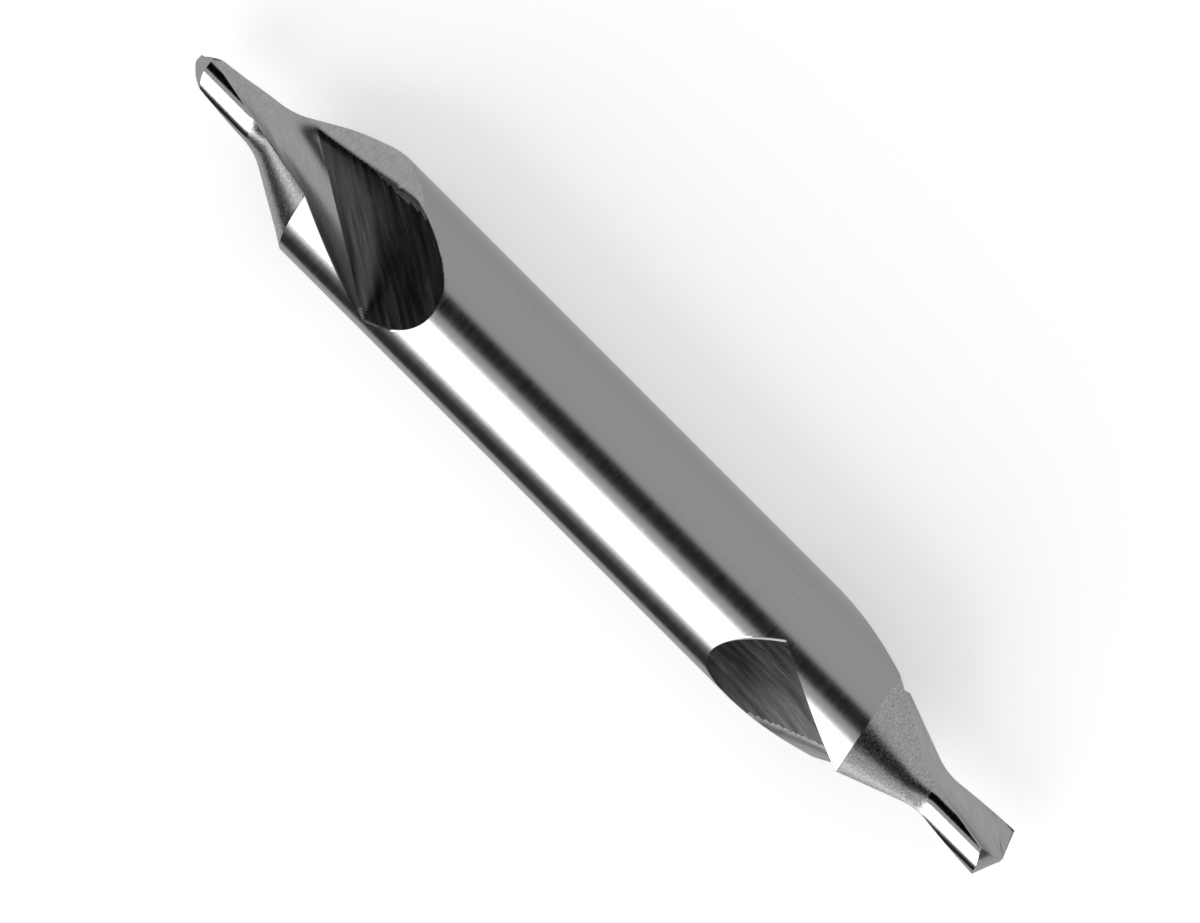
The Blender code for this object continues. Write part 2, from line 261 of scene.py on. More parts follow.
def walk_out(place, way, radius_at, flute):
    """Azimuth where the flute leaves the blank on one side, for each place along the axis."""
    middle = facing(place)

    def covered(azimuth):
        """Whether the wheel covers the blank's surface at each place."""
        x = np.broadcast_to(place.reshape(-1, *[1] * (azimuth.ndim - 1)), azimuth.shape)
        radius = radius_at(x, azimuth)
        return ground_cover(x, radius * np.sin(azimuth), radius * np.cos(azimuth), flute) > 0

    azimuth = middle[:, None] + way * SWING
    inside = covered(azimuth)
    outermost = inside.shape[1] - np.argmax(inside[:, ::-1], axis=1)
    past = outermost if flute == "reground" else np.argmin(inside, axis=1)
    past = np.clip(past, 1, inside.shape[1] - 1)[:, None]
    inner = np.take_along_axis(azimuth, past - 1, axis=1)[:, 0]
    outer = np.take_along_axis(azimuth, past, axis=1)[:, 0]
    for _ in range(LIMIT_HALVINGS):
        half = (inner + outer) / 2
        inside = covered(half)
        inner = np.where(inside, half, inner)
        outer = np.where(inside, outer, half)
    inner[-1] = middle[-1]
    return inner


# The places crowd together toward the flute's end, where the limits turn most.
LIMIT_PLACE = APEX - (APEX + FAR_PILOT_EXTRA) * np.linspace(1, 0, LIMIT_PLACES) ** 2
LIMIT_EDGE = walk_out(LIMIT_PLACE, -1, lambda x, azimuth: land_radius(x, 0), "plain")


def edge_at(x):
    """Azimuth of the cutting edge."""
    return np.interp(x, LIMIT_PLACE, LIMIT_EDGE)


print("cutting edge at 1, 5, 9, 13 mm:", np.round(edge_at(np.array([1, 5, 9, 13]) * MM) / DEG, 1))

# %% [markdown]
# ## The rounded heel
#
# The heel of the flute that was ground twice is rounded off too. In each section the metal is kept inside
# a quarter of a circle whose centre lies beside the axis and whose radius grows along it, with a wall
# below the circle.

# %% The blank with its relief and the rounded heel
ROUND_START = CORNER - 2.08 * MM
ROUND_SIDE = 1.5 * MM
ROUND_HEIGHT = -0.3 * MM
# The circle's radius in millimetres, its growth for each millimetre along the axis, and that growth's rise.
ROUND_SIZE = 0.6
ROUND_GROWTH = 0.2
ROUND_GROWTH_RISE = 0.03
ROUND_BLEND = 0.2 * MM
LEAST_SINE = 0.01
NO_ROUND = 2 * SHANK_RADIUS


def heel_round(x, azimuth):
    """Radius at which the rounded heel is met: on its circle, or on the wall beside or below it."""
    past = (x - ROUND_START) / MM
    size = (ROUND_SIZE + ROUND_GROWTH * past + ROUND_GROWTH_RISE * past**2) * MM
    sine, cosine = np.maximum(np.sin(azimuth), LEAST_SINE), np.cos(azimuth)
    nearest = ROUND_SIDE * sine + ROUND_HEIGHT * cosine
    room = nearest**2 - ROUND_SIDE**2 - ROUND_HEIGHT**2 + size**2
    on_circle = nearest + np.sqrt(np.maximum(room, 0))
    limit = np.where(on_circle * cosine > ROUND_HEIGHT, on_circle, (ROUND_SIDE + size) / sine)
    above = ROUND_SIDE * cosine / sine > ROUND_HEIGHT + size
    limit = np.where(above, ROUND_SIDE / sine, limit)
    return np.where((x > ROUND_START) & (np.sin(azimuth) > LEAST_SINE), limit, NO_ROUND)


def blank_radius(x, azimuth, flute):
    """Radius of the blank behind a heel: the smaller of land and rounded heel, blended where they meet."""
    land = land_radius(x, np.maximum(edge_at(x) + math.pi - azimuth, 0) / RELIEF_SPAN)
    if flute != "reground":
        return land
    rounded = heel_round(x, azimuth)
    return np.minimum(land, rounded) - rounding(land - rounded, ROUND_BLEND)


# %% [markdown]
# The heels are found like the cutting edge, by walking the other way. There are only two kinds, because a
# longer pilot doesn't change a heel's place.

# %% The heels
LIMIT_HEEL = {
    flute: walk_out(LIMIT_PLACE, 1, lambda x, azimuth, flute=flute: blank_radius(x, azimuth, flute), flute)
    for flute in ("plain", "reground")
}


def heel_at(x, flute):
    """Azimuth of the heel."""
    return np.interp(x, LIMIT_PLACE, LIMIT_HEEL["reground" if flute == "reground" else "plain"])


def heel_behind(x, flute):
    """How far behind the next cutting edge the heel lies, in relief spans."""
    return (edge_at(x) + math.pi - heel_at(x, flute)) / RELIEF_SPAN


for kind in LIMIT_HEEL:
    print(f"{kind} heel at 1, 5, 9, 13 mm:", np.round(heel_at(np.array([1, 5, 9, 13]) * MM, kind) / DEG, 1))

# %% [markdown]
# ## The floor of the flute
#
# From a point above the blank, in the middle of the flute, rays fan out to the floor. Each ray is
# followed until the void ends. One angle then gives one point, and the angles can be shared out so that a
# line of the grid falls on the cutting edge, on the heel, and on the line that the wheel's corner leaves
# between its two faces.

# %% Rays to the floor
RAY_CLEARANCE = 0.45 * MM
RAY_STEPS = 36
RAY_HALVINGS = 12


def ray_start(x):
    """Height of the rays' start, along the direction that the flute faces."""
    blank = np.clip(CONE_START_RADIUS + CONE_SLOPE * (x - PILOT_LENGTH), PILOT_RADIUS, SHANK_RADIUS)
    return blank + RAY_CLEARANCE


def ray_to(x, azimuth, radius):
    """Angle of the ray that meets a point, from straight down."""
    lean = azimuth - facing(x)
    return np.arctan2(radius * np.sin(lean), ray_start(x) - radius * np.cos(lean))


def ray_limits(x, flute):
    """The rays to the cutting edge and to the heel."""
    heel = heel_at(x, flute)
    return ray_to(x, edge_at(x), land_radius(x, 0)), ray_to(x, heel, blank_radius(x, heel, flute))


def floor_point(x, ray, flute):
    """Place of the floor along each ray: even steps while the void lasts, then halved steps.

    Between two passes the blank itself can be the floor, so on the heel's side of a flute ground twice every
    point is held within the blank's radius.
    """
    start = ray_start(x)
    sine, cosine = np.sin(facing(x)), np.cos(facing(x))

    def spot(reach):
        """The point at this distance along its ray."""
        offset = reach * np.sin(ray)
        height = start - reach * np.cos(ray)
        return height * sine + offset * cosine, height * cosine - offset * sine

    step = (start + PILOT_RADIUS) / RAY_STEPS
    reach = step
    going = np.ones(np.shape(x), bool)
    for _ in range(RAY_STEPS - 2):
        going = going & (void(x, *spot(reach + step), flute) > 0)
        reach = np.where(going, reach + step, reach)
    for _ in range(RAY_HALVINGS):
        step = step / 2
        reach = np.where(void(x, *spot(reach + step), flute) > 0, reach + step, reach)
    y, z = spot(reach)
    if flute != "reground":
        return y, z
    azimuth = np.arctan2(y, z)
    held = np.minimum(blank_radius(x, azimuth, flute) / np.hypot(y, z), 1)
    held = np.where(azimuth > facing(x), held, 1)
    return y * held, z * held


straight_down = floor_point(np.array([5 * MM]), np.zeros(1), "plain")
print(f"the floor 5 mm from the tip lies {float(np.hypot(*straight_down)[0]) / MM:.2f} mm from the axis")

# %% [markdown]
# ## The point
#
# Each of the two flanks falls away behind its cutting lip: gently at first, then more steeply. They meet
# in the chisel edge, where the signed fall is zero. The grid's middle line starts at the chisel edge's
# end and drifts over to the line left by the wheel's corner.

# %% Flank, chisel edge and the grid's middle line
LIP_AZIMUTH = 8 * DEG
LIP_SLOPE = 0.41
FLANK_SLOPE = 0.19
FLANK_CURVE = 0.6 / MM**2
TIP_ZONE = 1.6 * MM
MIDDLE_LINE_END = 5.4 * MM
MIDDLE_SHARES = (0.06, 0.85)
APEX_MARGIN = 0.01 * MM
CHISEL_SHARES = np.linspace(0.2, 0.8, 241)


def flank_fall(y, z, flute):
    """Signed fall: a share of the distance along the lip, and a rising share of the distance behind it."""
    lip = LIP_AZIMUTH + HELIX_RATE * LONGER[flute]
    along = y * math.sin(lip) + z * math.cos(lip)
    behind = z * math.sin(lip) - y * math.cos(lip)
    return LIP_SLOPE * along + FLANK_SLOPE * behind + FLANK_CURVE * behind**3


def smooth_rise(x, start, end):
    """Zero before the start, one after the end, and a smooth rise between them."""
    share = np.clip((x - start) / (end - start), 0, 1)
    return share * share * (3 - 2 * share)


def wheel_corner_share(x, flute):
    """Where the ray to the wheel's corner lies between the edge (0) and the heel (1)."""
    x = np.clip(x, WHEEL_STOP, APEX - APEX_MARGIN)
    past = x - WHEEL_STOP
    side = STOP_SIDE - past * math.tan(WHEEL_TURN)
    height = STOP_HEIGHT + WHEEL_RADIUS - np.sqrt(WHEEL_RADIUS**2 - (past / math.cos(WHEEL_TURN)) ** 2)
    edge, heel = ray_limits(x, flute)
    return (ray_to(x, np.arctan2(side, height), np.hypot(side, height)) - edge) / (heel - edge)


def chisel_end_share(flute):
    """Where the chisel edge meets the flute's floor, as a share of the way from edge to heel."""
    share = CHISEL_SHARES
    x = np.full(share.shape, -LONGER[flute])
    edge, heel = ray_limits(x, flute)
    fall = flank_fall(*floor_point(x, edge + (heel - edge) * share, flute), flute)
    last = int(np.nonzero(fall > 0)[0][-1])
    return float(share[last] + (share[last + 1] - share[last]) * fall[last] / (fall[last] - fall[last + 1]))


CHISEL_END = {flute: chisel_end_share(flute) for flute in LONGER}


def middle_share(x, flute):
    """The grid's middle line: at the chisel edge's end near the tip, at the wheel's corner further on."""
    wheel_corner = np.clip(wheel_corner_share(x, flute), *MIDDLE_SHARES)
    return CHISEL_END[flute] + (wheel_corner - CHISEL_END[flute]) * smooth_rise(x, TIP_ZONE, MIDDLE_LINE_END)


print("the chisel edge ends at these shares of the way from edge to heel:", CHISEL_END)

# %% [markdown]
# ## One half of one end
#
# A drill's two flutes are the same, half a turn apart, so one flute and the land after it are enough. The
# grid's rows follow the flank at the tip, lean with the relief over the cone so that one row lies on the
# cone's rim, and crowd together where the flute runs out. A strip 0.05 mm wide is left between land and
# flute on each side: the edge break that catches the light on a ground tool.

# %% Rows and columns of the grid
RAKE_COLUMNS = 26
BEVEL_COLUMNS = 34
LAND_COLUMNS = 60
TIP_ROWS = 30
PILOT_ROWS = 18
CONE_ROWS = 44
RUNOUT_ROWS = 66
RUNOUT_CROWDING = 1.6
LEAN_AT_ROOT = 0.7
LEAN_KEPT = 0.2 * MM
LEAN_GONE = 4.2 * MM


def row_places(flute):
    """Where each row starts, how much of the relief it leans by, and how much of the flank it follows."""
    tip_length = TIP_ZONE + LONGER[flute]
    tip_rows = tip_length * np.arange(TIP_ROWS) / TIP_ROWS - LONGER[flute]
    pilot_rows = TIP_ZONE + (PILOT_LENGTH - TIP_ZONE) * np.arange(PILOT_ROWS) / PILOT_ROWS
    cone_rows = PILOT_LENGTH + (CORNER - PILOT_LENGTH) * np.arange(CONE_ROWS) / CONE_ROWS
    runout_share = (1 - np.linspace(0, 1, RUNOUT_ROWS + 1)) ** RUNOUT_CROWDING
    runout_rows = APEX - (APEX - CORNER) * runout_share
    place = np.concatenate([tip_rows, pilot_rows, cone_rows, runout_rows])[:, None]
    lean = LEAN_AT_ROOT * smooth_rise(place, TIP_ZONE, PILOT_LENGTH)
    lean = lean + (1 - LEAN_AT_ROOT) * smooth_rise(place, PILOT_LENGTH, CORNER)
    lean = lean * (1 - smooth_rise(place, CORNER + LEAN_KEPT, CORNER + LEAN_GONE))
    return place, lean, np.clip((TIP_ZONE - place) / tip_length, 0, 1)


print(len(row_places("plain")[0]), "rows along each end")

# %% Points of the flute and of the land
EDGE_BREAK = 0.05 * MM
BREAK_SHARE = 0.12
# A ray runs about this far aside by the time it meets the edge.
RAY_ASIDE = 1 * MM


def break_width(x, flute):
    """Width of the edge break, narrower where the flute is."""
    return np.minimum(EDGE_BREAK, BREAK_SHARE * land_radius(x, 0) * (heel_at(x, flute) - edge_at(x)))


def flute_point(x, column, flute):
    """Floor points: column 0 to 1 runs from the edge to the middle line, and 1 to 2 on to the heel."""
    edge, heel = ray_limits(x, flute)
    middle = edge + (heel - edge) * middle_share(x, flute)
    inset = break_width(x, flute) / np.hypot(RAY_ASIDE, ray_start(x))
    first = edge + inset + (middle - edge - inset) * column
    second = middle + (heel - inset - middle) * (column - 1)
    return floor_point(x, np.where(column < 1, first, second), flute)


def land_point(x, column, flute):
    """Land points: column 0 to 1 runs from the heel to the next cutting edge."""
    heel = heel_at(x, flute)
    edge = edge_at(x) + math.pi
    inset = break_width(x, flute) / land_radius(x, (edge - heel) / RELIEF_SPAN)
    azimuth = heel + inset + (edge - heel - 2 * inset) * column
    radius = blank_radius(x, azimuth, flute)
    return radius * np.sin(azimuth), radius * np.cos(azimuth)


print(f"the edge break is at most {EDGE_BREAK / MM:.2f} mm wide")

# %% All points of one half
SETTLE_ROUNDS = 9


def column_grid(points_at, columns, behind_share, flute):
    """Places of all rows for these columns: first where each meets the flank, then each row's lean."""
    place, lean, flank_share = row_places(flute)
    fall = np.zeros(columns.shape)
    for _ in range(SETTLE_ROUNDS):
        fall = np.abs(flank_fall(*points_at(place[0] + fall, columns, flute), flute))
    x = place + flank_share * fall
    for _ in range(SETTLE_ROUNDS):
        x = place + flank_share * fall + lean * CONE_RELIEF * heel_behind(x, flute) * behind_share
    y, z = points_at(x, np.broadcast_to(columns, x.shape), flute)
    return np.stack([x, y, z], axis=-1)


rake_columns = np.arange(RAKE_COLUMNS) / RAKE_COLUMNS
bevel_columns = 1 + np.linspace(0, 1, BEVEL_COLUMNS + 1)
flute_columns = np.concatenate([rake_columns, bevel_columns])
land_columns = np.linspace(0, 1, LAND_COLUMNS + 1)


def half_of_end(flute):
    """One flute and the land behind it."""
    floor = column_grid(flute_point, flute_columns, flute_columns / 2, flute)
    land = column_grid(land_point, land_columns, 1 - land_columns, flute)
    return np.concatenate([floor, land], axis=1)


halves = {flute: half_of_end(flute) for flute in LONGER}
print("one half of one end:", halves["plain"].shape[:2], "points")

# %% [markdown]
# ## Whole ends, with their points closed
#
# Each end is two halves, the second turned by half a turn. The near end's first half has the flute that
# was ground twice, and both halves of the far end have the longer pilot. The two flanks are filled
# between the chisel edge and the top row: points on straight lines from one to the other, lifted on to
# the flank's formula.

# %% Closing the point
FLANK_ROWS = 9
HALF_COLUMNS = halves["plain"].shape[1]


def turned(points, azimuth):
    """Points turned about the axis towards growing azimuths."""
    x, y, z = np.moveaxis(points, -1, 0)
    sine, cosine = math.sin(azimuth), math.cos(azimuth)
    return np.stack([x, y * cosine + z * sine, z * cosine - y * sine], axis=-1)


def chisel_edge(loop, flute):
    """Points on the chisel edge, where the fall is zero, from the loop's first point to its last."""
    lip = LIP_AZIMUTH + HELIX_RATE * LONGER[flute]
    first, last = (point[2] * math.sin(lip) - point[1] * math.cos(lip) for point in loop[[0, -1]])
    behind = np.linspace(first, last, len(loop))
    along = -(FLANK_SLOPE * behind + FLANK_CURVE * behind**3) / LIP_SLOPE
    y = along * math.sin(lip) - behind * math.cos(lip)
    z = along * math.cos(lip) + behind * math.sin(lip)
    return np.stack([np.full(len(loop), -LONGER[flute]), y, z], axis=-1)


def flank_grid(loop, flute):
    """Rows from the chisel edge to the loop around one flank."""
    chisel = chisel_edge(loop, flute)
    share = np.linspace(0, 1, FLANK_ROWS + 1)[:, None, None]
    points = chisel + (loop - chisel) * share
    points[1:-1, :, 0] = np.abs(flank_fall(points[1:-1, :, 1], points[1:-1, :, 2], flute)) - LONGER[flute]
    return points


def flanks_of(end, flute):
    """Both flanks, each between the chisel edge and the half of the top row that faces it."""
    top_row = np.concatenate([end[0], end[0]])
    starts = (RAKE_COLUMNS, RAKE_COLUMNS + HALF_COLUMNS)
    return [flank_grid(top_row[start : start + HALF_COLUMNS + 1], flute) for start in starts]


near_grid = np.concatenate([halves["reground"], turned(halves["plain"], math.pi)], axis=1)
far_grid = np.concatenate([halves["longer"], turned(halves["longer"], math.pi)], axis=1)
print("one end:", far_grid.shape[:2], "points")

# %% [markdown]
# ## Marks of the grinding
#
# Every face keeps the fine scratches of the wheel that made it. On a flute they are arcs about the
# wheel's axle, so each point gets its distance across those arcs: how far along the axle it lies, less
# how far the wheel had still to travel. The face that the bevelled rim leaves at the stop is told from
# the swept face by a travel of zero, and what the second pass left is marked by a travel below zero.

# %% Grinding coordinates
BY_SECOND_PASS = -1 * MM


def grinding_marks(points, flute):
    """Distance across the wheel's scratches, distance along them, and the travel left when they were made."""
    x, y, z = np.moveaxis(points, -1, 0)
    cover, travel = swept_cover(x, y, z)
    along, across, _ = in_wheel_frame(x, y, z, travel)
    across_scratches = along - travel
    if flute == "reground":
        second_cover = swept_cover(*moved_back(x, y, z, SECOND_SHORT, SECOND_TURN))[0]
        travel = np.where(second_cover > cover, BY_SECOND_PASS, travel)
    return np.stack([across_scratches, across, travel], axis=-1)


def half_marks(flute):
    """The marks of one half: only the flute's columns have any."""
    count = len(flute_columns)
    marks = np.zeros(halves[flute].shape)
    marks[:, :count] = grinding_marks(halves[flute][:, :count], flute)
    return marks


near_marks = np.concatenate([half_marks("reground"), half_marks("plain")], axis=1)
far_marks = np.concatenate([half_marks("longer"), half_marks("longer")], axis=1)
print("travel runs from 0 to", round(float(far_marks[..., 2].max() / MM), 1), "mm")

# %% [markdown]
# ## Faces and finishes
#
# Every cell of a grid becomes a four-sided face. Each face is given one of seven finishes by where it
# lies: the ground shank, the pilot's narrow land, the rough land of the cone, the swept rake face, the
# face left by the bevelled rim, the flanks of the point, and the heel that was ground again and rounded.

# %% Faces of one end
FINISHES = [
    "ground_shank",
    "pilot_land",
    "countersink_land",
    "rake_face_painted_light",
    "runout_face_painted_shade",
    "point_flank",
    "heel_round",
]
SHANK, PILOT_LAND, CONE_LAND, RAKE, RUNOUT, FLANK, HEEL = range(len(FINISHES))
# Less travel than this is the wheel's stop, and a heel rounded by less than ROUNDED_BY counts as land.
TRAVEL_LIMIT = 0.02 * MM
ROUNDED_BY = 0.02 * MM
# The cone's rough finish starts this many rows before the root.
FILLET_ROWS = 3


def cells(index):
    """The corners of every cell of a grid of point numbers."""
    return np.stack([index[:-1, :-1], index[:-1, 1:], index[1:, 1:], index[1:, :-1]], axis=-1).reshape(-1, 4)


def closed_columns(grid):
    """The grid with its first column repeated at the end."""
    return np.concatenate([grid, grid[:, :1]], axis=1)


def end_finishes(grid, marks):
    """The finish of each cell of an end's grid."""
    rows = np.arange(len(grid) - 1)[:, None]
    columns = np.arange(grid.shape[1])[None]
    land = np.where(rows < TIP_ROWS + PILOT_ROWS - FILLET_ROWS, PILOT_LAND, CONE_LAND)
    land = np.where(rows < TIP_ROWS + PILOT_ROWS + CONE_ROWS, land, SHANK)
    x, y, z = np.moveaxis(grid[:-1], -1, 0)
    azimuth = np.mod(np.arctan2(y, z), 2 * math.pi)
    behind = np.mod(edge_at(x) + math.pi - azimuth, math.pi) / RELIEF_SPAN
    rounded = land_radius(x, behind) - np.hypot(y, z) > ROUNDED_BY
    if grid is near_grid:
        land = np.where(rounded & (columns < HALF_COLUMNS) & (x > ROUND_START), HEEL, land)
    travel = closed_columns(marks)[..., 2]
    corners = np.stack([travel[:-1, :-1], travel[:-1, 1:], travel[1:, 1:], travel[1:, :-1]])
    flute = np.where(corners.mean(axis=0) < TRAVEL_LIMIT, RUNOUT, RAKE)
    flute = np.where(corners.min(axis=0) < 0, HEEL, flute)
    return np.where(columns % HALF_COLUMNS < RAKE_COLUMNS + BEVEL_COLUMNS, flute, land)


# %% [markdown]
# ## The whole drill
#
# Each end's grid is set at its end of the axis. The far one is turned end for end and by 61 degrees more.
# Between them the shank is a plain tube whose columns meet the land columns of both ends. All parts are
# laid in one list, and points that coincide are then merged, which also closes the cells that shrink to
# nothing.

# %% Placing the ends and the shank
TUBE_ROWS = 14


def at_near_end(points):
    """An end's points moved to the near end."""
    return points - [LENGTH / 2, 0, 0]


def at_far_end(points):
    """An end's points turned about the axis, turned end for end and moved to the far end."""
    return turned(points, END_TURN) * [-1, -1, 1] + [LENGTH / 2 - FAR_PILOT_EXTRA, 0, 0]


def tube_grid():
    """Rings on the shank from one end's last row to the other's, turning evenly from one to the other."""
    step = math.pi / LAND_COLUMNS
    near = APEX_AZIMUTH + step * np.arange(2 * LAND_COLUMNS + 1)
    shift = round(-(2 * APEX_AZIMUTH + END_TURN) / step)
    far = -(APEX_AZIMUTH + END_TURN) - step * shift + step * np.arange(2 * LAND_COLUMNS + 1)
    share = np.linspace(0, 1, TUBE_ROWS + 1)[:, None]
    azimuth = near + (far - near) * share
    near_x = APEX - LENGTH / 2
    far_x = LENGTH / 2 - FAR_PILOT_EXTRA - APEX
    x = near_x + (far_x - near_x) * share + 0 * azimuth
    return np.stack([x, SHANK_RADIUS * np.sin(azimuth), SHANK_RADIUS * np.cos(azimuth)], axis=-1)


def drill_patches():
    """All grids of the drill with their grinding marks and finishes."""
    near = (at_near_end, near_grid, near_marks, "plain")
    far = (at_far_end, far_grid, far_marks, "longer")
    for place, grid, ground_marks, flute in (near, far):
        yield place(closed_columns(grid)), closed_columns(ground_marks), end_finishes(grid, ground_marks)
        for flank in flanks_of(grid, flute):
            cell_count = (len(flank) - 1, flank.shape[1] - 1)
            yield place(flank), flank * [0, 1, 1], np.full(cell_count, FLANK)
    tube = tube_grid()
    yield tube, np.zeros(tube.shape), np.full((len(tube) - 1, tube.shape[1] - 1), SHANK)


points, marks, faces, finishes = [], [], [], []
for patch_points, patch_marks, patch_finishes in drill_patches():
    index = np.arange(patch_points[..., 0].size).reshape(patch_points.shape[:2])
    faces.append(cells(index) + sum(len(part) for part in points))
    points.append(patch_points.reshape(-1, 3))
    marks.append(patch_marks.reshape(-1, 3))
    finishes.append(patch_finishes.reshape(-1))
points, marks, faces, finishes = (np.concatenate(part) for part in (points, marks, faces, finishes))
print(len(points), "points and", len(faces), "cells before merging")

# %% [markdown]
# ## The mesh
#
# `from_pydata` takes the points and cells. The grinding marks go into a corner attribute called
# "grinding", in millimetres, which the materials read. After merging, edges that turn by more than 25
# degrees are marked sharp.

# %% Making the mesh
GRINDING = "grinding"
MERGE_DISTANCE = 0.0002 * MM
CREASE_ANGLE = 25 * DEG


def drill_mesh():
    """The cells as one closed mesh, with its finishes, its grinding marks and its sharp edges."""
    mesh = bpy.data.meshes.new("centre_drill")
    mesh.from_pydata(points.tolist(), [], faces.tolist())
    mesh.polygons.foreach_set("material_index", finishes.astype(np.int32))
    corner_marks = marks[faces.reshape(-1)] / MM
    attribute = mesh.attributes.new(GRINDING, "FLOAT_VECTOR", "CORNER")
    attribute.data.foreach_set("vector", corner_marks.reshape(-1))
    shape = bmesh.new()
    shape.from_mesh(mesh)
    bmesh.ops.remove_doubles(shape, verts=shape.verts, dist=MERGE_DISTANCE)
    bmesh.ops.dissolve_degenerate(shape, edges=shape.edges, dist=MERGE_DISTANCE / 2)
    bmesh.ops.recalc_face_normals(shape, faces=shape.faces)
    open_edges = sum(not edge.is_manifold for edge in shape.edges)
    shape.to_mesh(mesh)
    shape.free()
    mesh.shade_smooth()
    mesh.set_sharp_from_angle(angle=CREASE_ANGLE)
    triangles = sum(len(face.vertices) - 2 for face in mesh.polygons)
    print("open edges:", open_edges, "triangles:", triangles)
    return mesh


drill = bpy.data.objects.new("ground_centre_drill", drill_mesh())
bpy.context.scene.collection.objects.link(drill)
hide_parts("drill_body")
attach(drill, "root")

# %% [markdown]
# ## Ground high-speed steel
#
# The whole tool is hardened high-speed steel, ground all over and left bare. Steel is a neutral grey
# metal. What differs from face to face is how it was ground: fine on the shank and the pilot's land,
# coarser on the cone's land and in the flutes. Two faces also carry painted light in their colour: the
# runout face is darker, as painted shade, and the rake face lighter, as painted light. So every finish
# has the same node tree, with its own numbers. Real scratches lie closer than the picture can show, so
# they are drawn coarser, 4 to 14 to a millimetre across the grinding.

# %% Colours and nodes
def linear(hex_colour):
    """An sRGB hex colour turned to the linear values that Blender works with."""
    parts = [int(hex_colour[i : i + 2], 16) / 255 for i in (1, 3, 5)]
    return (*[part / 12.92 if part <= 0.04045 else ((part + 0.055) / 1.055) ** 2.4 for part in parts], 1)


def add(tree, kind, settings=None, **links):
    """Adds a node, sets its settings by name or socket name, and links the given sockets."""
    node = tree.nodes.new(kind)
    for name, value in (settings or {}).items():
        if name in node.inputs:
            node.inputs[name].default_value = value
        else:
            setattr(node, name, value)
    for name, socket in links.items():
        tree.links.new(socket, node.inputs[name])
    return node


# %% The steel
NOISE_DETAIL = 3
NOISE_ROUGHNESS = 0.6
COLOUR_RANGE = (0.35, 0.65)
ROUGHNESS_RANGE = (0.3, 0.7)
ROUGHNESS_SHARES = (0.85, 1.15)
# A Mix node keeps its colour sockets behind those for numbers and vectors.
MIX_COLOUR_A, MIX_COLOUR_B, MIX_COLOUR_RESULT = 6, 7, 2


def ground_steel(name, colour, shade, roughness, scratches, depth, source):
    """Bare steel: noise drawn out along the grinding gives colour, roughness and bump.

    The scratches are counts to a millimetre along each coordinate, and the depth is in millimetres.
    """
    made = bpy.data.materials.new(name)
    made.use_nodes = True
    tree = made.node_tree
    shader = tree.nodes["Principled BSDF"]
    shader.inputs["Metallic"].default_value = 1
    if source == GRINDING:
        place = add(tree, "ShaderNodeAttribute", {"attribute_name": GRINDING}).outputs["Vector"]
        scale = scratches
    else:
        place = add(tree, "ShaderNodeTexCoord").outputs["Object"]
        scale = [count / MM for count in scratches]
    drawn = add(tree, "ShaderNodeMapping", {"Scale": scale}, Vector=place).outputs["Vector"]
    grain = {"Scale": 1, "Detail": NOISE_DETAIL, "Roughness": NOISE_ROUGHNESS}
    noise = add(tree, "ShaderNodeTexNoise", grain, Vector=drawn).outputs["Fac"]
    limits = dict(zip(("From Min", "From Max"), COLOUR_RANGE))
    contrast = add(tree, "ShaderNodeMapRange", limits, Value=noise)
    colours = add(tree, "ShaderNodeMix", {"data_type": "RGBA"}, Factor=contrast.outputs["Result"])
    colours.inputs[MIX_COLOUR_A].default_value = linear(shade)
    colours.inputs[MIX_COLOUR_B].default_value = linear(colour)
    tree.links.new(colours.outputs[MIX_COLOUR_RESULT], shader.inputs["Base Color"])
    limits = dict(zip(("From Min", "From Max"), ROUGHNESS_RANGE))
    rough = add(tree, "ShaderNodeMapRange", limits, Value=noise)
    rough.inputs["To Min"].default_value = roughness * ROUGHNESS_SHARES[0]
    rough.inputs["To Max"].default_value = roughness * ROUGHNESS_SHARES[1]
    tree.links.new(rough.outputs["Result"], shader.inputs["Roughness"])
    bump = add(tree, "ShaderNodeBump", {"Strength": 1, "Distance": depth * MM}, Height=noise)
    tree.links.new(bump.outputs["Normal"], shader.inputs["Normal"])
    return made


# %% The seven finishes
finish_values = {
    # Ground round and fine, so the studio shows in soft strips along it.
    "ground_shank": ("#BEBEC0", "#BABABC", 0.21, (9, 0.4, 0.4), 0.0001, "object"),
    # The finest face: close to a mirror, white or black with hardly a grey between.
    "pilot_land": ("#C6C6C8", "#BABABC", 0.11, (9, 0.4, 0.4), 0.0001, "object"),
    # Relieved with a rough wheel: a grain that sparkles.
    "countersink_land": ("#D8D8DA", "#ACACAE", 0.24, (12, 9, 9), 0.0052, "object"),
    # Left by the wheel's flat side: an even grey with fine arcs. Its lighter grey is painted light,
    #     # making up for the dark runout face that it reflects.
    "rake_face_painted_light": ("#D4D4D6", "#BEBEC0", 0.3, (14, 0.8, 0), 0.0015, GRINDING),
    # Left by the bevelled rim at the stop, with broad streaks. Its darker colour is painted shade,
    #     # standing in for the dark surroundings that this face reflects.
    "runout_face_painted_shade": ("#909092", "#646466", 0.25, (5, 0.3, 0), 0.002, GRINDING),
    # The flanks of the point, plain and matt.
    "point_flank": ("#CECED0", "#BCBCBE", 0.3, (4, 9, 9), 0.001, "object"),
    # The heel that was ground again: the mattest face.
    "heel_round": ("#D4D4D6", "#BEBEC0", 0.32, (9, 3, 3), 0.001, "object"),
}
for finish in FINISHES:
    drill.data.materials.append(ground_steel(finish, *finish_values[finish]))
print("finishes:", ", ".join(FINISHES))

# %% [markdown]
# ## Floor and light
#
# Polished metal shows its surroundings, so the studio matters as much as the metal. Photographers stand
# dark cards around a shiny object to give it form, and keep them out of the picture. Here they are sheets
# that only reflections see, so they take no light away.

# %% Sheets for the stage
CARD_ROUGHNESS = 0.9
NO_PAINT = "#000000"
DOME_STEPS = (25, 9)


